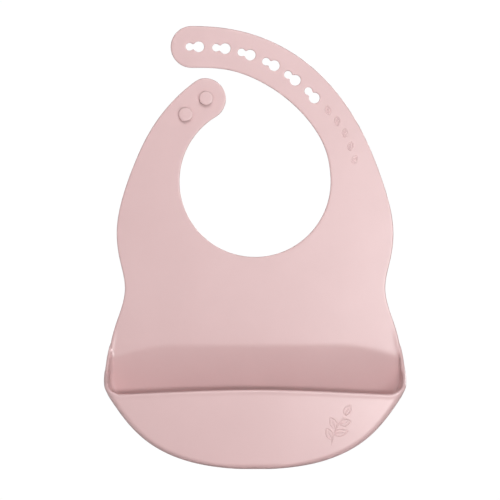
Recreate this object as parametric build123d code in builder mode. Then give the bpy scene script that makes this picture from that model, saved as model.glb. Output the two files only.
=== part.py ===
from build123d import *
import os
from math import cos, sin, radians

# Silicone bib with a catch pocket: a flat moulded sheet with an open neck ring and a scooped
# pocket below. Millimetres, +Z up, the front faces -Y. The origin is the centre of the neck
# opening, halfway through the sheet.

# Sheet
sheet_t = 2.0
edge_fillet = 0.6
neck_r = 52.8
neck_end_deg = 4.0

# Straps
strap_tip_r = 14.6
button_tip_deg = 121.3
button_side_deg = 95.0
hole_tip_x = -44.4
hole_tip_z = 94.0

# Outline knots, as x and z from the neck centre
hole_strap_inner = [(49.8, 20.2), (41.2, 37.2), (26.2, 54.1), (1.3, 70.9), (-20.1, 78.1)]
hole_strap_outer = [(-20.2, 107.0), (9.8, 98.5), (37.6, 81.7), (59.3, 59.3), (73.7, 36.9), (83.9, 14.5)]
button_strap_outer = [(-83.5, 14.5), (-75.6, 31.3), (-64.5, 48.1), (-54.4, 59.3), (-44.0, 68.3)]
flank = [(91.7, -7.9), (96.6, -33.0), (95.0, -52.7), (91.0, -75.1), (94.6, -91.9), (100.9, -111.0)]
flank_dir = (0.3, -1.0)

# Fastening: keyholes as x and z of the large lobe and the heading of the small lobe
lobe_large_r = 3.75
lobe_small_r = 2.7
lobe_gap = 6.4
keyhole_throat = 3.6
keyholes = [
    (-39.4, 94.1, 180),
    (-20.9, 92.8, 174),
    (-3.4, 88.3, 163),
    (13.4, 80.9, 154),
    (28.1, 70.7, 143),
    (41.4, 58.3, 131),
]
stud_ring_r = 67.2
stud_inner_deg = 120.5
stud_outer_deg = 136.1
stud_neck_r = 2.3
stud_neck_h = 2.2
stud_head_r = 4.8
stud_head_h = 1.8
stud_dome_r = 1.0

# Fold lines, as x, z and heading: each segment's lower end is rounded about its fold line
fold_clear = 0.05
waist_z = -75.1
shoulder_z = 8.0
waist_fold = (0.0, waist_z, 180.0)
button_fold = (-69.0, shoulder_z, 0.0)
hole_fold = (70.0, shoulder_z, 0.0)
middle_fold = (48.0, 49.7, 46.0)
tip_fold = (2.0, 86.0, 68.0)

# How far a cutting block reaches: past the flanks, along a strap, to each side of a strap and
# up to the open side of the neck ring
apron_reach = 110.0
button_length = 67.0
strap_reach = 90.0
strap_side = 45.0
button_side = (-40.0, 51.0)
tip_side = (-25.4, 40.0)

# Pocket
slope_top_z = -111.0
slope_half_w = 100.9
mouth_z = -141.0
pocket_half_w = 104.2
pocket_depth = 22.0
pocket_y = -12.0
pocket_h = 57.6
pouch_profile = [(101.6, -7.1), (94.4, -18.3), (79.8, -35.0), (62.4, -46.2), (33.0, -54.8)]
wall_t = 2.0
side_split_x = 66.0
split_gap = 0.15
base_top_z = -183.0
lip_z = -145.5
lip_r = 1.6
lip_rise = 0.6
spare = 5.0

# Slope sections: height, half width, then edge and bow of the back face and of the front face
slope_sections = [
    (slope_top_z, slope_half_w, sheet_t / 2, 0.0, -sheet_t / 2, 0.0),
    (mouth_z, pocket_half_w, pocket_y, pocket_depth, pocket_y, pocket_depth - wall_t),
]
slope_shares = (-1.0, -0.97, -0.88, -0.65, -0.35, 0.0, 0.35, 0.65, 0.88, 0.97, 1.0)


def sheet_plane(x, z, heading=0.0):
    """Plane lying in the sheet, its x along the heading and its normal out of the front."""
    a = radians(heading)
    return Plane(origin=(x, 0, z), x_dir=(cos(a), 0, sin(a)), z_dir=(0, -1, 0))


def beyond(fold, reach, low, high):
    """Block and round end that keep the material past a fold line."""
    plane = sheet_plane(*fold)
    along = Plane(origin=plane.origin + plane.x_dir * low, x_dir=plane.y_dir, z_dir=plane.x_dir)
    with BuildPart(mode=Mode.PRIVATE) as keep:
        with BuildSketch(plane):
            with Locations(((low + high) / 2, reach / 2)):
                Rectangle(high - low, reach)
        extrude(amount=sheet_t, both=True)
        with BuildSketch(along):
            Circle(sheet_t / 2)
        extrude(amount=high - low)
    return keep.part


def before(fold, reach, low, high):
    """Block that keeps the material short of a fold line."""
    stop = sheet_t / 2 + fold_clear
    with BuildPart(mode=Mode.PRIVATE) as keep:
        with BuildSketch(sheet_plane(*fold)):
            with Locations(((low + high) / 2, -stop - reach / 2)):
                Rectangle(high - low, reach)
        extrude(amount=sheet_t, both=True)
    return keep.part


def mirrored(points):
    """The same knots on the other flank, in reverse order."""
    return [(-x, z) for x, z in reversed(points)]


def around(radius, deg, x=0.0, z=0.0):
    """Point at a radius and an angle from a centre."""
    return (x + radius * cos(radians(deg)), z + radius * sin(radians(deg)))


# Flat sheet: neck arc, hole strap, right flank, left flank, button strap
neck_end = around(neck_r, neck_end_deg)
neck_heading = around(1, neck_end_deg + 90)
hole_tip_low = (hole_tip_x, hole_tip_z - strap_tip_r)
hole_tip_high = (hole_tip_x, hole_tip_z + strap_tip_r)
button_tip = around(neck_r + strap_tip_r, button_tip_deg)
button_side_start = around(strap_tip_r, button_side_deg, *button_tip)
button_heading = around(1, button_side_deg - 90)
button_sweep = button_tip_deg - 180 - button_side_deg

with BuildPart() as sheet:
    with BuildSketch(Plane.XZ):
        with BuildLine():
            CenterArc((0, 0), neck_r, button_tip_deg, 360 + neck_end_deg - button_tip_deg)
            Spline(
                neck_end,
                *hole_strap_inner,
                hole_tip_low,
                tangents=(neck_heading, (-1, 0)),
                tangent_scalars=(1, 1),
            )
            CenterArc((hole_tip_x, hole_tip_z), strap_tip_r, 90, 180)
            Spline(
                hole_tip_high,
                *hole_strap_outer,
                *flank,
                tangents=((1, 0), flank_dir),
                tangent_scalars=(1, 1),
            )
            Line(flank[-1], (-flank[-1][0], flank[-1][1]))
            Spline(
                *mirrored(flank),
                *button_strap_outer,
                button_side_start,
                tangents=((flank_dir[0], -flank_dir[1]), button_heading),
                tangent_scalars=(1, 1),
            )
            CenterArc(button_tip, strap_tip_r, button_side_deg, button_sweep)
        make_face()
    extrude(amount=sheet_t / 2, both=True)
    rims = sheet.faces().sort_by(Axis.Y)[0].edges() + sheet.faces().sort_by(Axis.Y)[-1].edges()
    fillet(rims.filter_by(lambda e: e.center().Z > slope_top_z + 1), edge_fillet)
    for x, z, heading in keyholes:
        with BuildSketch(sheet_plane(x, z, heading)):
            Circle(lobe_large_r)
            with Locations((lobe_gap, 0)):
                Circle(lobe_small_r)
            with Locations((lobe_gap / 2, 0)):
                Rectangle(lobe_gap, keyhole_throat)
        extrude(amount=sheet_t, both=True, mode=Mode.SUBTRACT)


os.makedirs("parts", exist_ok=True)

# Chest: everything between the waist and the two shoulders
with BuildPart() as chest_panel:
    add(sheet.part)
    with BuildSketch(Plane.XZ):
        chest_low = waist_z + sheet_t / 2 + fold_clear
        chest_high = shoulder_z - sheet_t / 2 - fold_clear
        with Locations((0, (chest_low + chest_high) / 2)):
            Rectangle(3 * pocket_half_w, chest_high - chest_low)
    extrude(amount=sheet_t, both=True, mode=Mode.INTERSECT)
chest_panel.part.label = "chest_panel"
export_step(chest_panel.part, "parts/chest_panel.step")

# Apron: hangs from the waist fold down to the top of the pocket slope
with BuildPart() as apron_panel:
    add(sheet.part)
    add(beyond(waist_fold, waist_z - slope_top_z, -apron_reach, apron_reach), mode=Mode.INTERSECT)
apron_panel.part.label = "apron_panel"
export_step(apron_panel.part, "parts/apron_panel.step")

# Button strap, and the two mushroom studs standing on its front face
with BuildPart() as button_strap:
    add(sheet.part)
    add(beyond(button_fold, button_length, *button_side), mode=Mode.INTERSECT)
button_strap.part.label = "button_strap"
export_step(button_strap.part, "parts/button_strap.step")

for name, angle in (("stud_inner", stud_inner_deg), ("stud_outer", stud_outer_deg)):
    face = sheet_plane(*around(stud_ring_r, angle))
    with BuildPart() as stud:
        with BuildSketch(face.offset(sheet_t / 2)):
            Circle(stud_neck_r)
        extrude(amount=stud_neck_h)
        with BuildSketch(face.offset(sheet_t / 2 + stud_neck_h)):
            Circle(stud_head_r)
        extrude(amount=stud_head_h)
        fillet(stud.edges().sort_by(Axis.Y)[0], stud_dome_r)
    stud.part.label = name
    export_step(stud.part, "parts/" + name + ".step")

# Hole strap, in three segments that fold back behind the neck
with BuildPart() as hole_strap_lower:
    add(sheet.part)
    add(beyond(hole_fold, strap_reach, -strap_side, strap_side), mode=Mode.INTERSECT)
    add(before(middle_fold, strap_reach, -strap_side, strap_side), mode=Mode.INTERSECT)
hole_strap_lower.part.label = "hole_strap_lower"
export_step(hole_strap_lower.part, "parts/hole_strap_lower.step")

with BuildPart() as hole_strap_middle:
    add(sheet.part)
    add(beyond(middle_fold, strap_reach, -strap_side, strap_side), mode=Mode.INTERSECT)
    add(before(tip_fold, strap_reach, -strap_side, strap_side), mode=Mode.INTERSECT)
hole_strap_middle.part.label = "hole_strap_middle"
export_step(hole_strap_middle.part, "parts/hole_strap_middle.step")

with BuildPart() as hole_strap_tip:
    add(sheet.part)
    add(beyond(tip_fold, strap_reach, *tip_side), mode=Mode.INTERSECT)
hole_strap_tip.part.label = "hole_strap_tip"
export_step(hole_strap_tip.part, "parts/hole_strap_tip.step")

# Pocket slope: the back leans away below the crease while its flanks curl forward
with BuildPart() as pocket_slope:
    for z, half_w, back_y, back_depth, front_y, front_depth in slope_sections:
        bow = [(s, (1 - s * s) ** 0.5) for s in slope_shares]
        back = [(s * half_w, back_y + back_depth * b) for s, b in bow]
        front = [(s * (half_w - wall_t), front_y + front_depth * b) for s, b in bow]
        with BuildSketch(Plane.XY.offset(z)):
            with BuildLine():
                Spline(*back)
                Line(back[-1], front[-1])
                Spline(*reversed(front))
                Line(front[0], back[0])
            make_face()
    loft(ruled=True)
pocket_slope.part.label = "pocket_slope"
export_step(pocket_slope.part, "parts/pocket_slope.step")

# Pouch: the lower outline turned about the upright axis, flattened, then hollowed
with BuildPart() as round_body:
    with BuildSketch(Plane.XZ):
        with BuildLine():
            Spline(
                (pocket_half_w, 0),
                *pouch_profile,
                (0, -pocket_h),
                tangents=((0, -1), (-1, 0)),
                tangent_scalars=(1, 1),
            )
            Line((0, -pocket_h), (0, 0))
            Line((0, 0), (pocket_half_w, 0))
        make_face()
    revolve(axis=Axis.Z)

inner_w = pocket_half_w - wall_t
inner_depth = pocket_depth - wall_t
outer_body = scale(round_body.part, by=(1, pocket_depth / pocket_half_w, 1))
inner_body = scale(
    round_body.part,
    by=(inner_w / pocket_half_w, inner_depth / pocket_half_w, (pocket_h - wall_t) / pocket_h),
)
pouch = (outer_body - inner_body).moved(Location((0, pocket_y, mouth_z)))


def pouch_piece(name, x_low, x_high, y_low, y_high, z_low, z_high):
    """The share of the pouch wall inside one box."""
    with BuildPart() as piece:
        add(pouch)
        with Locations(((x_low + x_high) / 2, (y_low + y_high) / 2, (z_low + z_high) / 2)):
            Box(x_high - x_low, y_high - y_low, z_high - z_low, mode=Mode.INTERSECT)
    piece.part.label = name
    export_step(piece.part, "parts/" + name + ".step")


far_x = pocket_half_w + spare
front_y = pocket_y - pocket_depth - spare
back_y = pocket_y + pocket_depth + spare
floor_z = mouth_z - pocket_h - spare
side_in = side_split_x + split_gap
front_low = base_top_z + split_gap
pouch_piece("pocket_back", -far_x, far_x, pocket_y, back_y, floor_z, mouth_z)
pouch_piece("pocket_base", -far_x, far_x, front_y, pocket_y, floor_z, base_top_z)
pouch_piece("pocket_side_left", -far_x, -side_in, front_y, pocket_y, base_top_z, lip_z)
pouch_piece("pocket_side_right", side_in, far_x, front_y, pocket_y, base_top_z, lip_z)
pouch_piece("pocket_front", -side_split_x, side_split_x, front_y, pocket_y, front_low, lip_z)

# Rolled lip: a bead along the top of the front wall, from corner to corner
lip_centre_z = lip_z + lip_rise
with BuildPart() as bead:
    with BuildLine(Plane.XY.offset(lip_centre_z)) as lip_path:
        mid_w = pocket_half_w - wall_t / 2
        mid_depth = pocket_depth - wall_t / 2
        EllipticalCenterArc((0, pocket_y), mid_w, mid_depth, start_angle=180, arc_size=180)
    with BuildSketch(Plane.XZ.offset(-pocket_y)):
        with Locations((-mid_w, lip_centre_z)):
            Circle(lip_r)
    sweep()


def lip_piece(name, x_low, x_high):
    """The share of the rolled lip between two upright planes, flat where it meets the wall."""
    with BuildPart() as piece:
        add(bead.part)
        with Locations(((x_low + x_high) / 2, (front_y + pocket_y) / 2, lip_z + spare)):
            Box(x_high - x_low, pocket_y - front_y, 2 * spare, mode=Mode.INTERSECT)
    piece.part.label = name
    export_step(piece.part, "parts/" + name + ".step")


lip_piece("pocket_lip", -side_split_x, side_split_x)
lip_piece("rim_left", -far_x, -side_in)
lip_piece("rim_right", side_in, far_x)
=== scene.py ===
import math

import bpy
import numpy as np
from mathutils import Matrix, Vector
from mathutils.geometry import delaunay_2d_cdt


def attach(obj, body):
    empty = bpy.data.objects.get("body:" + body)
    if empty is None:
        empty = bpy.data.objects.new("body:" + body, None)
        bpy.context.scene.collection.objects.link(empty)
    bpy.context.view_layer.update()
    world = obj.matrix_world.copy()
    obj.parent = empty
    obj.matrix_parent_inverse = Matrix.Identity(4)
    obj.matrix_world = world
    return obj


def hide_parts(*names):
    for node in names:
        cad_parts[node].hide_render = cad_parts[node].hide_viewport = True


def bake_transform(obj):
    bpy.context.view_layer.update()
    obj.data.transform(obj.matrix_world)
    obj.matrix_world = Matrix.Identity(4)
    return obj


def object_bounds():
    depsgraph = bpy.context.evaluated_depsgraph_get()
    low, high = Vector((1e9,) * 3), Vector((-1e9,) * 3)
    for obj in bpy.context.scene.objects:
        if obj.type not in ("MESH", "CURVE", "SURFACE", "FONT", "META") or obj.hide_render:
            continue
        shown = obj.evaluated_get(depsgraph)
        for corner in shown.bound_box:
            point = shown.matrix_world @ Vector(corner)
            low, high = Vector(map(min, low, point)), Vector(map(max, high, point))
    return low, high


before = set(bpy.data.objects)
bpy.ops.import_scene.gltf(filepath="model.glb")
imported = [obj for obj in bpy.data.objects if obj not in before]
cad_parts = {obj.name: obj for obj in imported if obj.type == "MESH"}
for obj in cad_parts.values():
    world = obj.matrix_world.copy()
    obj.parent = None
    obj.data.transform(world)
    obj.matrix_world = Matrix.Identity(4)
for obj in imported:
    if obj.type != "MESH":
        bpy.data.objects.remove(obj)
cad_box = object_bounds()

# A silicone bib: flat sheet with an open neck ring, two straps and a scooped catch pocket.
# Shapes are worked out in millimetres in the frame's axes (+Z up, front towards -Y, origin at
# the neck's centre) and turned into metres when a mesh is made.

MM = 0.001
bib_low, bib_high = (np.array(corner) / MM for corner in cad_box)


# Sheet
half_t = 1.0
edge_r = 0.9
hole_edge_r = 0.5
neck_r = 52.8
neck_end_deg = 4.0

# Straps
tip_r = 14.6
button_deg = 121.3
hole_tip = np.array([-44.4, 94.0])
button_top_deg = 95.0
button_reach = (-18.0, 75.5)
stud_ring_r = 67.2
stud_degs = {"stud_inner": 120.5, "stud_outer": 136.1}

# Keyholes: x and z of the large lobe, direction of the small lobe in degrees
lobe_large_r = 3.75
lobe_small_r = 2.7
lobe_gap = 6.4
throat_half_w = 1.8
throat_ease_large = 6
throat_ease_small = 8
keyhole_step = 0.45
keyholes = [
    (-39.4, 94.1, 180),
    (-20.9, 92.8, 174),
    (-3.4, 88.3, 163),
    (13.4, 80.9, 154),
    (28.1, 70.7, 143),
    (41.4, 58.3, 131),
]

# Outline knots
hole_strap_inner = [(49.8, 20.2), (41.2, 37.2), (26.2, 54.1), (1.3, 70.9), (-20.1, 78.1)]
hole_strap_outer = [(-20.2, 107.0), (9.8, 98.5), (37.6, 81.7), (59.3, 59.3), (73.7, 36.9), (83.9, 14.5)]
button_strap_outer = [(-83.5, 14.5), (-75.6, 31.3), (-64.5, 48.1), (-54.4, 59.3), (-44.0, 68.3)]
flank = [
    (91.7, -7.9), (96.6, -33.0), (95.0, -52.7), (91.0, -75.1), (94.6, -91.9), (100.3, -108.7),
    (104.0, -129.5), (103.9, -142.3), (98.2, -153.2), (84.9, -170.3), (72.4, -181.0), (53.4, -190.5),
    (0.0, -197.9),
]

# Raised motifs
ridge_half_w = 0.5
ridge_h = 0.34
ridge_sunk = 0.35
ridge_steps = 7
leaf_row_r = 69.5
leaf_row_start = 10.0
leaf_row_end = 42.0

# Pocket
seam_z = -96.0
corner_z = -130.5
lip_side_z = -147.3
lip_mid_z = -143.6
corner_r = 9.0
side_run = 26.0
mouth_run = 222.0
mouth_columns = 80
lip_curve = 3
bead_r = 1.25
bead_fall = 2.4
crease_z = -114.5
crease_drop = 9.0
front_depth = 22.0
front_bow = 0.07
lean_w = 0.8
front_edge_r = 3.0
back_edge_r = 3.5
curl_y = -12.0
curl_top_z = -112.0
curl_low_z = -139.0
rim_full_z = -104.0
bead_full_z = -114.0
dip_from = 0.6
dip_power = 1.6
dip_top_z = -150.0
dip_low_z = -185.0
narrow_half_w = 40.0
narrow_power = 0.6
back_low_z = [-193.0, -185.5, -171.0, -158.0, -148.0]
back_low_y = [-5.6, -1.2, 4.8, 8.3, 8.9]


# ---------------------------------------------------------------- curves in the sheet

def smooth_curve(knots, start_dir, end_dir, step=1.2):
    """Twice-smooth cubic through the knots, as evenly spaced points without the last one."""
    p = np.array(knots, float)
    h = np.linalg.norm(np.diff(p, axis=0), axis=1)
    n = len(p)
    a, b = np.zeros((n, n)), np.zeros((n, 2))
    a[0, 0] = a[-1, -1] = 1.0
    b[0], b[-1] = start_dir, end_dir
    for i in range(1, n - 1):
        a[i, i - 1:i + 2] = h[i], 2 * (h[i - 1] + h[i]), h[i - 1]
        b[i] = 3 * (h[i] * (p[i] - p[i - 1]) / h[i - 1] + h[i - 1] * (p[i + 1] - p[i]) / h[i])
    slope = np.linalg.solve(a, b)
    u = np.linspace(0, 1, 60, endpoint=False)[:, None]
    spans = [
        (2 * u**3 - 3 * u**2 + 1) * p[i] + (u**3 - 2 * u**2 + u) * h[i] * slope[i]
        + (3 * u**2 - 2 * u**3) * p[i + 1] + (u**3 - u**2) * h[i] * slope[i + 1]
        for i in range(n - 1)
    ]
    dense = np.vstack(spans + [p[-1:]])
    return even_points(dense, step)


def even_points(line, step):
    """The same line at an even step, without its last point."""
    run = np.concatenate([[0.0], np.cumsum(np.linalg.norm(np.diff(line, axis=0), axis=1))])
    count = max(2, int(round(run[-1] / step)))
    at = np.linspace(0, run[-1], count, endpoint=False)
    return np.column_stack([np.interp(at, run, line[:, k]) for k in range(line.shape[1])])


def arc(centre, radius, start_deg, end_deg, step=1.2):
    """Points along a round stretch, without its last point."""
    count = max(3, int(round(abs(math.radians(end_deg - start_deg)) * radius / step)))
    a = np.radians(np.linspace(start_deg, end_deg, count, endpoint=False))
    return np.column_stack([centre[0] + radius * np.cos(a), centre[1] + radius * np.sin(a)])


def heading(deg):
    """Unit direction in the sheet, anticlockwise from +X."""
    return np.array([math.cos(math.radians(deg)), math.sin(math.radians(deg))])


button_tip = (neck_r + tip_r) * heading(button_deg)
button_top = button_tip + tip_r * heading(button_top_deg)
right_side = smooth_curve([hole_tip + (0, tip_r)] + hole_strap_outer + flank, (1, 0), (-1, 0))
left_side = smooth_curve(
    [(-x, z) for x, z in reversed(flank)] + button_strap_outer + [button_top],
    (-1, 0),
    heading(button_top_deg - 90),
)


def half_width(z):
    """Half the bib's width at a height below the shoulders."""
    lower = right_side[right_side[:, 1] < 0]
    lower = np.vstack([lower, [0.0, flank[-1][1]]])[::-1]
    return np.interp(z, lower[:, 1], lower[:, 0])


def sheet_outline(bottom_z):
    """The flat sheet's outline down to a level line, anticlockwise from the neck ring."""
    neck = arc((0, 0), neck_r, button_deg, 360 + neck_end_deg)
    inner = smooth_curve(
        [neck_r * heading(neck_end_deg)] + hole_strap_inner + [hole_tip - (0, tip_r)],
        heading(neck_end_deg + 90),
        (-1, 0),
    )
    tip = arc(hole_tip, tip_r, 270, 90)
    right = right_side[right_side[:, 1] > bottom_z]
    left = left_side[left_side[:, 1] > bottom_z]
    w = half_width(bottom_z)
    button = arc(button_tip, tip_r, button_top_deg, button_deg - 180)
    return np.vstack([neck, inner, tip, right, [[w, bottom_z], [-w, bottom_z]], left, button])


def closed_arc(centre, radius, start_deg, end_deg):
    """Points along a keyhole's round stretch, with its last point."""
    line = arc(centre, radius, start_deg, end_deg, keyhole_step)
    return np.vstack([line, np.array(centre) + radius * heading(end_deg)])


def keyhole_loop(x, z, way_deg, grow=0.0):
    """One keyhole, as two lobes joined by a throat with softened corners."""
    big, small, throat = lobe_large_r + grow, lobe_small_r + grow, throat_half_w + grow
    big_deg = math.degrees(math.asin(throat / big)) + throat_ease_large
    small_deg = math.degrees(math.asin(throat / small)) + throat_ease_small
    throat_x = (big + lobe_gap - small) / 2
    line = np.vstack([
        closed_arc((0, 0), big, big_deg, 360 - big_deg),
        [[throat_x, -throat]],
        closed_arc((lobe_gap, 0), small, small_deg - 180, 180 - small_deg),
        [[throat_x, throat]],
    ])
    h = math.radians(way_deg)
    turn = np.array([[math.cos(h), math.sin(h)], [-math.sin(h), math.cos(h)]])
    return line @ turn + (x, z)


# ---------------------------------------------------------------- flat mesh tools

def line_distance(points, line, closed=True):
    """Distance from each point to a polyline, in two or three dimensions."""
    a = line
    b = np.roll(line, -1, axis=0)
    if not closed:
        a, b = line[:-1], line[1:]
    batch = 500
    best = np.full(len(points), 1e9)
    span = b - a
    length = np.maximum((span * span).sum(1), 1e-12)
    for i in range(0, len(points), batch):
        w = points[i:i + batch, None, :] - a[None]
        t = np.clip((w * span).sum(2) / length, 0, 1)
        gap = w - t[..., None] * span
        best[i:i + batch] = np.sqrt((gap * gap).sum(2).min(1))
    return best


def inside(points, loop):
    """True for points inside a closed loop."""
    x, z = points[:, :1], points[:, 1:]
    ax, az = loop[:, 0], loop[:, 1]
    bx, bz = np.roll(ax, -1), np.roll(az, -1)
    crosses = (az > z) != (bz > z)
    with np.errstate(divide="ignore", invalid="ignore"):
        hit = x < (bx - ax) * (z - az) / (bz - az) + ax
    return (crosses & hit).sum(1) % 2 == 1


def inset(loop, amount):
    """A closed loop moved sideways, to its left for a positive amount."""
    ahead, behind = np.roll(loop, -1, axis=0), np.roll(loop, 1, axis=0)
    d = ahead - behind
    d /= np.linalg.norm(d, axis=1)[:, None]
    return loop + amount * np.column_stack([-d[:, 1], d[:, 0]])


def edge_height(q, radius):
    """Half thickness at a distance from a free edge that is rounded, or beaded if wider."""
    top = np.maximum(radius, half_t)
    round_part = top - radius + np.sqrt(np.maximum(radius**2 - np.maximum(radius - q, 0) ** 2, 0))
    fall = np.clip((q - radius) / bead_fall, 0, 1)
    flat_part = half_t + (top - half_t) * (0.5 + 0.5 * np.cos(math.pi * fall))
    return np.maximum(np.where(q < radius, round_part, flat_part), 0.05)


def mesh_piece(name, points, faces, smooth=None):
    """A linked object made of points in millimetres and faces, smooth where asked."""
    mesh = bpy.data.meshes.new(name)
    mesh.from_pydata((points * MM).tolist(), [], faces)
    mesh.polygons.foreach_set("use_smooth", [len(f) < 5 for f in faces] if smooth is None else smooth)
    mesh.update()
    piece = bpy.data.objects.new(name, mesh)
    bpy.context.scene.collection.objects.link(piece)
    return piece


def thicken(name, mid, normal, height, faces, seam):
    """Closed solid around a middle surface. seam(points) says which edge points lie on a cut."""
    n = len(mid)
    outer = mid + normal * height[:, None]
    inner = mid - normal * height[:, None]
    used = {}
    for face in faces:
        used.update(dict.fromkeys(zip(face, face[1:] + face[:1])))
    border = [(a, b) for a, b in used if (b, a) not in used]
    on_cut = seam(mid)
    solid = [tuple(f) for f in faces] + [tuple(i + n for i in reversed(f)) for f in faces]
    flat = [False] * len(solid)
    for a, b in border:
        solid.append((b, a, a + n, b + n))
        flat.append(bool(on_cut[a] and on_cut[b]))
    keep = np.unique(np.array([i for f in solid for i in f]))
    number = {int(old): new for new, old in enumerate(keep)}
    points = np.vstack([outer, inner])[keep]
    solid = [[number[i] for i in f] for f in solid]
    piece = mesh_piece(name, points, solid, [not cut for cut in flat])
    sharp = set()
    for face, cut in zip(solid, flat):
        if cut:
            sharp.update(frozenset(pair) for pair in zip(face, face[1:] + face[:1]))
    for edge in piece.data.edges:
        edge.use_edge_sharp = frozenset(edge.vertices) in sharp
    return piece


# ---------------------------------------------------------------- flat sheet

def cut_line(point, direction, reach):
    """A straight cut through the sheet, as evenly spaced points."""
    d = np.array(direction, float) / np.linalg.norm(direction)
    at = np.arange(-reach, reach + 0.1, 3.0)
    return np.array(point) + at[:, None] * d


cuts = {
    "pocket": ((0.0, seam_z), (1.0, 0.0), 108),
    "button": ((-72.0, -12.0), (1.0, 0.0), 27),
    "shoulder": ((72.0, -12.0), (1.0, 0.0), 27),
    "lower": (tuple(68.0 * heading(27)), tuple(heading(27)), 24),
    "upper": ((18.2, 77.6), tuple(heading(58)), 21),
}


def flat_triangles():
    """One triangulation of the whole flat sheet, cut along every seam line."""
    outline = sheet_outline(seam_z - 5)
    holes = [keyhole_loop(*k) for k in keyholes]
    points, edges = [], []

    def add_line(line, closed):
        start = len(points)
        points.extend(line.tolist())
        last = len(points) - 1
        edges.extend((i, i + 1) for i in range(start, last))
        if closed:
            edges.append((last, start))

    add_line(outline, True)
    for share in (0.08, 0.3, 0.62, 1.0, 1.7):
        add_line(inset(outline, -edge_r * share), True)
    for k, hole in zip(keyholes, holes):
        add_line(hole, True)
        for share in (0.12, 0.45, 1.0, 1.8):
            add_line(keyhole_loop(*k, grow=hole_edge_r * share), True)
    for point, direction, reach in cuts.values():
        add_line(cut_line(point, direction, reach), False)
    step = 3.2
    row_ratio = 0.866
    grid = []
    for row, z in enumerate(np.arange(seam_z - 5, 112, step * row_ratio)):
        for x in np.arange(-110, 110, step):
            grid.append((x + (row % 2) * step / 2, z))
    grid = np.array(grid)
    clear = inside(grid, outline) & (line_distance(grid, outline) > 2.6)
    for hole in holes:
        clear &= ~inside(grid, hole) & (line_distance(grid, hole) > 1.7)
    for point, direction, reach in cuts.values():
        clear &= line_distance(grid, cut_line(point, direction, reach), False) > 1.4
    points.extend(grid[clear].tolist())
    found = delaunay_2d_cdt([Vector(p) for p in points], edges, [], 0, 1e-5)
    xz = np.array([tuple(v) for v in found[0]])
    tri = np.array([tuple(f) for f in found[2]])
    middle = xz[tri].mean(1)
    keep = inside(middle, outline)
    for hole in holes:
        keep &= ~inside(middle, hole)
    height = edge_height(line_distance(xz, outline), edge_r)
    for hole in holes:
        height = np.minimum(height, edge_height(line_distance(xz, hole), hole_edge_r))
    return xz, tri[keep], middle[keep], height


def past(middle, cut):
    """True for points on the left of a cut line."""
    (px, pz), (dx, dz), _ = cuts[cut]
    return (middle[:, 1] - pz) * dx - (middle[:, 0] - px) * dz > 0


def on_any_cut(mid):
    """True for points that lie on a seam line."""
    hit = np.zeros(len(mid), bool)
    for (px, pz), (dx, dz), reach in cuts.values():
        across = (mid[:, 2] - pz) * dx - (mid[:, 0] - px) * dz
        along = (mid[:, 0] - px) * dx + (mid[:, 2] - pz) * dz
        hit |= (np.abs(across) < 1e-3) & (np.abs(along) < reach + 1)
    return hit


def sheet_pieces():
    """The flat sheet's five pieces, by name."""
    xz, tri, middle, height = flat_triangles()
    right = middle[:, 0] > 0
    straps = past(middle, "shoulder")
    button = straps & (middle[:, 0] < button_reach[0]) & (middle[:, 1] < button_reach[1])
    hole_strap = straps & ~button
    lower = hole_strap & right & ~past(middle, "lower")
    tip = hole_strap & past(middle, "upper") & ~lower
    groups = {
        "apron_sheet": ~straps & past(middle, "pocket"),
        "button_strap_sheet": button,
        "hole_strap_lower_sheet": lower,
        "hole_strap_middle_sheet": hole_strap & ~lower & ~tip,
        "hole_strap_tip_sheet": tip,
    }
    mid = np.column_stack([xz[:, 0], np.zeros(len(xz)), xz[:, 1]])
    normal = np.tile([0.0, 1.0, 0.0], (len(mid), 1))
    pieces = {}
    for name, members in groups.items():
        faces = [list(map(int, t)) for t in tri[members]]
        corners = xz[tri[members][0]]
        (ax, az), (bx, bz), (cx, cz) = corners
        if (bx - ax) * (cz - az) - (cx - ax) * (bz - az) > 0:
            faces = [f[::-1] for f in faces]
        pieces[name] = thicken(name, mid, normal, height, faces, on_any_cut)
    return pieces


# ---------------------------------------------------------------- pocket

def ease(z, start, end):
    """0 above start, 1 below end, smooth between, for a height that goes down."""
    t = np.clip((start - z) / (start - end), 0, 1)
    return t * t * (3 - 2 * t)


def back_line(z):
    """How far the back wall's middle stands behind the sheet's plane."""
    knots_z = [flank[-1][1] - 0.1, *back_low_z, crease_z, seam_z]
    knots_y = [curl_y, *back_low_y, 0.0, 0.0]
    return np.interp(z, knots_z, knots_y)


def edge_line(z):
    """How far forward the flanks stand: the sides curl out towards the pocket's corners."""
    return curl_y * ease(z, curl_top_z, curl_low_z)


def smooth_table(function, low, high, width=1.5):
    """The same function with its corners rounded off, as a table to look up."""
    z = np.linspace(low, high, 600)
    kernel = np.exp(-0.5 * (np.arange(-40, 41) * (z[1] - z[0]) / width) ** 2)
    padded = np.concatenate([np.full(40, function(low)), function(z), np.full(40, function(high))])
    return z, np.convolve(padded, kernel / kernel.sum(), mode="valid")


back_table = smooth_table(back_line, flank[-1][1], seam_z)


def wall_width(z):
    """Half width of the pocket's middle surface at a height."""
    closed = ease(z, rim_full_z, corner_z)
    inset_by = half_t * (0.35 + 0.65 * closed) * ease(z, seam_z, curl_top_z)
    return np.maximum(half_width(z) - inset_by, 0.0)


def outline_gap(across, z):
    """Distance in from the pocket's outline, sideways and upwards."""
    width = wall_width(z)
    slope = (wall_width(z + 0.2) - wall_width(z - 0.2)) / 0.4
    return np.minimum(width * (1 - np.abs(across)) / np.sqrt(1 + slope**2), z - flank[-1][1])


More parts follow.
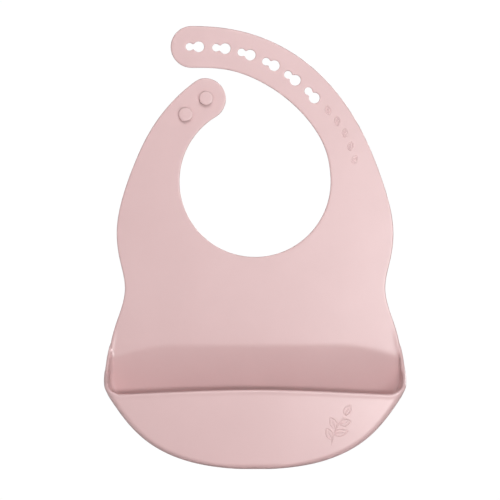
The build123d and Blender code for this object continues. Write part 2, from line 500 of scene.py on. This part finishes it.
def wall_depth(gap, depth, edge_radius):
    """How far a wall stands off the flanks: a steep side, a rounded edge and then its full depth.

    A wall shallower than its edge radius has no steep side.
    """
    edge_radius = np.clip(depth, 0.01, edge_radius)
    lean = lean_w * np.clip((depth - edge_radius) / (2 * edge_radius), 0.01, 1)
    turn = 1 - np.clip((gap - lean) / edge_radius, 0, 1)
    return (depth - edge_radius) * np.clip(gap / lean, 0, 1) + edge_radius * np.sqrt(1 - turn**2)


def front_wall(across, z):
    """How far forward the front wall stands, slightly bowed from side to side."""
    bow = 1 - front_bow * (across * wall_width(z) / wall_width(lip_side_z)) ** 2
    return edge_line(z) - wall_depth(outline_gap(across, z), front_depth * bow, front_edge_r)


def back_wall(across, z):
    """How far back the back wall stands: flat above the crease, which dips towards the flanks."""
    edge = edge_line(z)
    dip = np.clip((np.abs(across) - dip_from) / (1 - dip_from), 0, 1) ** dip_power
    raised = z + crease_drop * (1 - ease(z, dip_top_z, dip_low_z)) * dip
    depth = np.interp(raised, *back_table) - edge
    depth = depth * np.minimum(1.0, (wall_width(z) / narrow_half_w) ** narrow_power)
    return edge + wall_depth(outline_gap(across, z), depth, back_edge_r)


def wall_point(z, share, front):
    """Point of a wall at a height, at a share of the way round from the right to the left."""
    across = np.sin(np.radians(np.linspace(90, -90, 361)))
    x = wall_width(z) * across
    y = front_wall(across, z) if front else back_wall(across, z)
    run = np.concatenate([[0.0], np.cumsum(np.hypot(np.diff(x), np.diff(y)))])
    at = share * run[-1]
    return np.column_stack([np.interp(at, run, x), np.interp(at, run, y), np.full(len(share), z)])


def pocket_rows():
    """Heights of the rows, and the row where the side edges turn into the lip."""
    upper = np.linspace(seam_z, corner_z, 36)
    near = corner_z - np.array([0.08, 0.3, 0.65, 1.1, 1.7, 2.4, 3.2, 4.2, 5.4, 6.8])
    a = np.radians(np.linspace(0, 90, 60)[1:-1])
    top = near[-1]
    bottom = flank[-1][1]
    lower = top - (top - bottom) * np.sin(a)
    return np.concatenate([upper, near, lower]), len(upper) - 1


def column_shares():
    """Shares of the way round, packed close at both ends and round the corners."""
    first = [0, 0.08, 0.3, 0.65, 1.1, 1.7, 2.4, 3.2, 4.2, 5.4]
    near = np.concatenate([first, np.arange(6.6, 34, 1.0)]) / mouth_run
    middle = np.linspace(near[-1], 1 - near[-1], mouth_columns)[1:-1]
    return np.concatenate([near, middle, 1 - near[::-1]])


def lip_height(share):
    """Height of the lip: forward and down along each side, round a corner and across the front."""
    width = wall_width(lip_side_z)
    x = np.abs(wall_point(lip_side_z, share, True)[:, 0])
    corner = 1 - np.sqrt(1 - np.clip((x - width + corner_r) / corner_r, 0, 1) ** 2)
    side = 1 - np.clip(np.minimum(share, 1 - share) * mouth_run / side_run, 0, 1)
    side_drop = corner_z - lip_side_z - corner_r
    rise = lip_mid_z - lip_side_z
    across_front = rise * (1 - np.hypot(1, lip_curve * x / width)) / (np.hypot(1, lip_curve) - 1)
    across_front += rise
    return lip_side_z + corner_r * corner + side_drop * side**1.5 + across_front


def pocket_grid():
    """The pocket's middle surface: points, faces and the free edge."""
    rows, turn = pocket_rows()
    shares = column_shares()
    points, back_ids, front_ids = [], [], []
    for z in rows:
        back_ids.append(list(range(len(points), len(points) + len(shares))))
        points.extend(wall_point(z, shares, False))
    lip = lip_height(shares)
    for j in range(turn, len(rows)):
        fade = 1 - ease(rows[j], corner_z, -186.0)
        ids = [back_ids[j][0]]
        for share, top in zip(shares[1:-1], lip[1:-1]):
            z = rows[j] + (top - corner_z) * fade
            ids.append(len(points))
            points.extend(wall_point(z, np.array([share]), True))
        ids.append(back_ids[j][-1])
        front_ids.append(ids)
    foot = len(points)
    points.append(np.array([0.0, edge_line(flank[-1][1]), flank[-1][1]]))
    faces = []
    for ids in (back_ids, front_ids):
        for upper, lower in zip(ids[:-1], ids[1:]):
            for k in range(len(upper) - 1):
                faces.append([upper[k], upper[k + 1], lower[k + 1], lower[k]])
        last = ids[-1]
        faces.extend([last[k], last[k + 1], foot] for k in range(len(last) - 1))
    back_faces = len(rows) * (len(shares) - 1)
    faces = [f[::-1] if i >= back_faces else f for i, f in enumerate(faces)]
    rim_right = [ids[0] for ids in back_ids[:turn]]
    rim_left = [ids[-1] for ids in back_ids[:turn]]
    rim = rim_right + front_ids[0] + rim_left[::-1]
    return np.array(points), faces, rim


def surface_normals(points, faces):
    """Area-weighted normals of a middle surface."""
    normal = np.zeros_like(points)
    for f in faces:
        a, b, c = points[f[0]], points[f[1]], points[f[2]]
        d = points[f[-1]]
        n = np.cross(c - a, d - b) if len(f) == 4 else np.cross(b - a, c - a)
        for i in f:
            normal[i] += n
    return normal / np.maximum(np.linalg.norm(normal, axis=1), 1e-12)[:, None]


def on_seam(mid):
    """True for points on the line where the pocket joins the flat sheet."""
    return np.abs(mid[:, 2] - seam_z) < 1e-6


def pocket_piece():
    """Pocket with the crease, the curled flanks, the front wall and the rolled lip."""
    points, faces, rim = pocket_grid()
    normal = surface_normals(points, faces)
    if normal[len(normal) // 4, 1] < 0:
        faces = [f[::-1] for f in faces]
        normal = -normal
    normal[on_seam(points)] = (0, 1, 0)
    line = points[rim]
    w = half_width(seam_z + 5)
    line = np.vstack([[w, 0, seam_z + 5], line, [-w, 0, seam_z + 5]])
    q = line_distance(points, line, False)
    radius = edge_r + (bead_r - edge_r) * ease(points[:, 2], seam_z, bead_full_z)
    height = edge_height(q, radius)
    return thicken("pocket", points, normal, height, faces, on_seam)


# ---------------------------------------------------------------- studs

def stud_piece(name, deg):
    """Mushroom stud turned about the axis out of the sheet's front."""
    profile = [
        (3.4, -0.1), (2.9, 0.12), (2.5, 0.5), (2.35, 1.0), (2.3, 1.6), (2.4, 2.0), (2.8, 2.16),
        (3.6, 2.2), (4.3, 2.23), (4.62, 2.31), (4.77, 2.5), (4.82, 2.8), (4.82, 3.2), (4.8, 3.5),
        (4.72, 3.72), (4.58, 3.86), (4.35, 3.93), (3.6, 3.95), (1.8, 3.97),
    ]
    top_h = 3.98
    count = 72
    centre = stud_ring_r * heading(deg)
    points = []
    for r, h in profile:
        for k in range(count):
            a = 2 * math.pi * k / count
            points.append((centre[0] + r * math.cos(a), -half_t - h, centre[1] + r * math.sin(a)))
    top = len(points)
    points.append((centre[0], -half_t - top_h, centre[1]))
    faces = [tuple(reversed(range(count)))]
    for ring in range(len(profile) - 1):
        base = ring * count
        for k in range(count):
            n = (k + 1) % count
            faces.append((base + n, base + count + n, base + count + k, base + k))
    base = (len(profile) - 1) * count
    faces.extend((base + (k + 1) % count, top, base + k) for k in range(count))
    return mesh_piece(name + "_turned", np.array(points), faces)


# ---------------------------------------------------------------- raised motifs

def sheet_front(x, z):
    """How far forward the flat sheet's face stands."""
    return np.full_like(x, -half_t)


def pocket_front_face(x, z):
    """How far forward the front wall's outer face stands."""
    return front_wall(x / wall_width(z), z) - half_t


def ridge_piece(name, strokes, face):
    """Raised lines on a face: each stroke is a low, round-backed ridge with tapered ends."""
    verts, faces = [], []
    section = np.radians(np.linspace(0, 180, ridge_steps))
    for stroke in strokes:
        line = np.array(stroke)
        way = np.gradient(line, axis=0)
        way /= np.linalg.norm(way, axis=1)[:, None]
        side = np.column_stack([-way[:, 1], way[:, 0]])
        share = np.linspace(0, 1, len(line))
        taper = np.minimum(1, np.minimum(share, 1 - share) * 6) ** 0.5 * 0.85 + 0.15
        start = len(verts)
        for p, s, size in zip(line, side, taper):
            across = p + s * (ridge_half_w * size * np.cos(section))[:, None]
            lift = ridge_h * size * np.sin(section)
            y = face(across[:, 0], across[:, 1])
            verts.extend(zip(across[:, 0], y - lift, across[:, 1]))
            sunk = (across[-1], across[0])
            verts.extend((q[0], float(face(q[:1], q[1:])[0]) + ridge_sunk, q[1]) for q in sunk)
        ring = ridge_steps + 2
        for i in range(len(line) - 1):
            a, b = start + i * ring, start + (i + 1) * ring
            faces.extend((a + k, a + (k + 1) % ring, b + (k + 1) % ring, b + k) for k in range(ring))
        faces.append(tuple(range(start + ring - 1, start - 1, -1)))
        last = start + (len(line) - 1) * ring
        faces.append(tuple(range(last, last + ring)))
    return mesh_piece(name, np.array(verts), faces)


def leaf(base, deg, length, width):
    """A leaf's two edges and its midrib, from its base along a direction."""
    along, across = heading(deg), heading(deg + 90)
    t = np.linspace(0, 1, 17)
    bulge = width / 2 * np.sin(math.pi * t ** 0.85)
    middle = np.array(base) + np.outer(t * length, along)
    rib = middle[:12]
    return [middle + np.outer(bulge, across), middle - np.outer(bulge, across), rib]


def sprig_strokes():
    """A plain leaf sprig for the pocket: a curved stem with leaves on both sides."""
    t = np.linspace(0, 1, 24)
    foot, top = np.array([52.0, -181.5]), np.array([61.5, -161.0])
    stem = foot + np.outer(t, top - foot) + np.outer(np.sin(math.pi * t) * 1.6, heading(155))
    strokes = [stem]
    for share, side, length in ((0.2, 1, 9.0), (0.35, -1, 10.0), (0.55, 1, 9.0), (0.7, -1, 8.5)):
        base = stem[int(share * 23)]
        strokes.extend(leaf(base, 65 + side * 52, length, 4.6))
    strokes.extend(leaf(stem[-1], 65, 8.0, 4.4))
    return strokes


def strap_strokes(shares):
    """Leaves in a row up the hole strap, at shares of the row's length."""
    strokes = []
    for share in shares:
        deg = leaf_row_start + share * (leaf_row_end - leaf_row_start)
        strokes.extend(leaf(leaf_row_r * heading(deg), deg + 60, 6.6, 3.6))
    return strokes


# ---------------------------------------------------------------- material

def silicone():
    """Matt moulded silicone: soft pink with faint clouding, a fine mould grain and a soft sheen."""
    material = bpy.data.materials.new("silicone")
    material.use_nodes = True
    tree = material.node_tree
    nodes, link = tree.nodes, tree.links.new
    shader = nodes["Principled BSDF"]
    place = nodes.new("ShaderNodeTexCoord")

    def noise(scale, detail):
        node = nodes.new("ShaderNodeTexNoise")
        node.inputs["Scale"].default_value = scale
        node.inputs["Detail"].default_value = detail
        link(place.outputs["Object"], node.inputs["Vector"])
        return node

    cloud = noise(22, 3)
    ramp = nodes.new("ShaderNodeValToRGB")
    ramp.color_ramp.elements[0].position = 0.3
    ramp.color_ramp.elements[0].color = (0.705, 0.478, 0.478, 1)
    ramp.color_ramp.elements[1].position = 0.7
    ramp.color_ramp.elements[1].color = (0.728, 0.498, 0.498, 1)
    link(cloud.outputs["Fac"], ramp.inputs["Fac"])
    link(ramp.outputs["Color"], shader.inputs["Base Color"])

    grain = noise(1400, 2)
    swell = noise(60, 2)
    rough = nodes.new("ShaderNodeMapRange")
    rough.inputs["To Min"].default_value = 0.33
    rough.inputs["To Max"].default_value = 0.39
    link(swell.outputs["Fac"], rough.inputs["Value"])
    link(rough.outputs["Result"], shader.inputs["Roughness"])
    bump = nodes.new("ShaderNodeBump")
    bump.inputs["Strength"].default_value = 0.12
    bump.inputs["Distance"].default_value = 0.0002
    link(grain.outputs["Fac"], bump.inputs["Height"])
    link(bump.outputs["Normal"], shader.inputs["Normal"])
    shader.inputs["Specular IOR Level"].default_value = 0.6
    shader.inputs["Sheen Weight"].default_value = 0.12
    shader.inputs["Sheen Roughness"].default_value = 0.5
    shader.inputs["Sheen Tint"].default_value = (1.0, 0.9, 0.9, 1)
    return material


# ---------------------------------------------------------------- put together

rubber = silicone()
sheets = sheet_pieces()
pocket = pocket_piece()
studs = {name: stud_piece(name, deg) for name, deg in stud_degs.items()}

motifs = {
    "pocket_sprig": ridge_piece("pocket_sprig", sprig_strokes(), pocket_front_face),
    "strap_leaves_low": ridge_piece("strap_leaves_low", strap_strokes((0.0, 0.25)), sheet_front),
    "strap_leaves_high": ridge_piece("strap_leaves_high", strap_strokes((0.5, 0.75, 1.0)), sheet_front),
}

for piece in [*sheets.values(), pocket, *studs.values(), *motifs.values()]:
    piece.data.materials.append(rubber)
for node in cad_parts.values():
    node.data.materials.clear()
    node.data.materials.append(rubber)


def bend(piece):
    """Bakes the piece's placement into its mesh; no bend is made here."""
    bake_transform(piece)


for name, joint, before, after, nodes in (
    ("apron_sheet", "waist_fold", 11, 13, ("chest_panel", "apron_panel")),
    ("button_strap_sheet", "button_strap_bend", 13, 15, ("button_strap",)),
    ("hole_strap_lower_sheet", "hole_strap_bend", 13, 14, ("hole_strap_lower",)),
    ("hole_strap_middle_sheet", "hole_strap_curl", 13, 15, ("hole_strap_middle",)),
    ("hole_strap_tip_sheet", "hole_tip_curl", 11, 13, ("hole_strap_tip",)),
):
    bend(sheets[name])
    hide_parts(*nodes)

bend(motifs["strap_leaves_low"])
bend(motifs["strap_leaves_high"])
for soft in (pocket, motifs["pocket_sprig"]):
    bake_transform(soft)
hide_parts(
    "pocket_slope",
    "pocket_back",
    "pocket_base",
    "pocket_side_left",
    "pocket_side_right",
    "rim_left",
    "rim_right",
    "pocket_front",
    "pocket_lip",
)
for name, stud in studs.items():
    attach(stud, "button_strap")
    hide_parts(name)


# ---------------------------------------------------------------- studio

world_strength = 0.28
white_strength = 1.02
floor_radius = 6
floor_clear = 0.0005
camera_distance = 1.6
camera_x = -0.00355
camera_z = -0.04795
seen_width = 0.3495
sensor_width = 36


def lamp(name, place, aim, width, height, watts):
    """A soft rectangular lamp at a place, turned towards a point."""
    data = bpy.data.lights.new(name, "AREA")
    data.shape = "RECTANGLE"
    data.size = width
    data.size_y = height
    data.energy = watts
    lamp_object = bpy.data.objects.new(name, data)
    lamp_object.location = place
    lamp_object.rotation_euler = (Vector(aim) - Vector(place)).to_track_quat("-Z", "Y").to_euler()
    bpy.context.scene.collection.objects.link(lamp_object)
    return lamp_object


def white_for_camera(tree, other, out, white_kind):
    """Pure white where the camera looks, and the other shader for everything that lights the bib."""
    nodes, link = tree.nodes, tree.links.new
    white = nodes.new(white_kind)
    white.inputs["Color"].default_value = (1, 1, 1, 1)
    white.inputs["Strength"].default_value = white_strength
    rays = nodes.new("ShaderNodeLightPath")
    mix = nodes.new("ShaderNodeMixShader")
    link(rays.outputs["Is Camera Ray"], mix.inputs["Fac"])
    link(other.outputs[0], mix.inputs[1])
    link(white.outputs[0], mix.inputs[2])
    link(mix.outputs["Shader"], out.inputs["Surface"])


def backdrop():
    """Seamless white floor and surroundings."""
    floor_z = bib_low[2] * MM - floor_clear
    bpy.ops.mesh.primitive_circle_add(
        vertices=128, radius=floor_radius, fill_type="NGON", location=(0, 0, floor_z)
    )
    floor = bpy.context.object
    floor.name = "floor"
    pale = bpy.data.materials.new("pale_floor")
    pale.use_nodes = True
    shader = pale.node_tree.nodes["Principled BSDF"]
    shader.inputs["Base Color"].default_value = (0.6, 0.6, 0.6, 1)
    shader.inputs["Roughness"].default_value = 0.9
    shader.inputs["Specular IOR Level"].default_value = 0.0
    floor_out = pale.node_tree.nodes["Material Output"]
    white_for_camera(pale.node_tree, shader, floor_out, "ShaderNodeEmission")
    floor.data.materials.append(pale)

    world = bpy.data.worlds.new("studio")
    bpy.context.scene.world = world
    world.use_nodes = True
    lit = world.node_tree.nodes["Background"]
    lit.inputs["Color"].default_value = (1, 1, 1, 1)
    lit.inputs["Strength"].default_value = world_strength
    world_out = world.node_tree.nodes["World Output"]
    white_for_camera(world.node_tree, lit, world_out, "ShaderNodeBackground")


def studio():
    """White backdrop, the lamps and the camera.

    A soft key stands in front and above, and a strip lamp in front at the lip's height. A large
    soft lamp lights the back. Two lamps at the right are seen only as gloss on the rubber.
    """
    backdrop()
    middle = (bib_low + bib_high) / 2 * MM
    lip = (0.0, front_wall(0.0, lip_mid_z) * MM, lip_mid_z * MM)
    lamp("key", (0.08, -1.0, 0.50), middle, 0.24, 0.24, 4.5)
    level = lamp("level", (0.12, -1.0, lip[2] - 0.008), lip, 0.50, 0.06, 3.6)
    level.visible_glossy = False
    lamp("back", (0.5, 1.1, 0.4), middle, 0.60, 0.60, 10.0)
    for name, place, width, height, watts in (
        ("sheen", (0.50, -1.45, -0.17), 0.30, 0.20, 23.0),
        ("sheen_side", (1.20, -1.00, -0.20), 1.20, 0.80, 4.0),
    ):
        lamp(name, place, middle, width, height, watts).visible_diffuse = False

    camera_data = bpy.data.cameras.new("camera")
    camera = bpy.data.objects.new("camera", camera_data)
    camera_data.sensor_width = sensor_width
    camera_data.lens = sensor_width * camera_distance / seen_width
    camera_data.clip_end = 50
    camera.location = (camera_x, -camera_distance, camera_z)
    camera.rotation_euler = (math.radians(90), 0, 0)
    bpy.context.scene.collection.objects.link(camera)
    bpy.context.scene.camera = camera
    bpy.context.scene.view_settings.view_transform = "Standard"


studio()
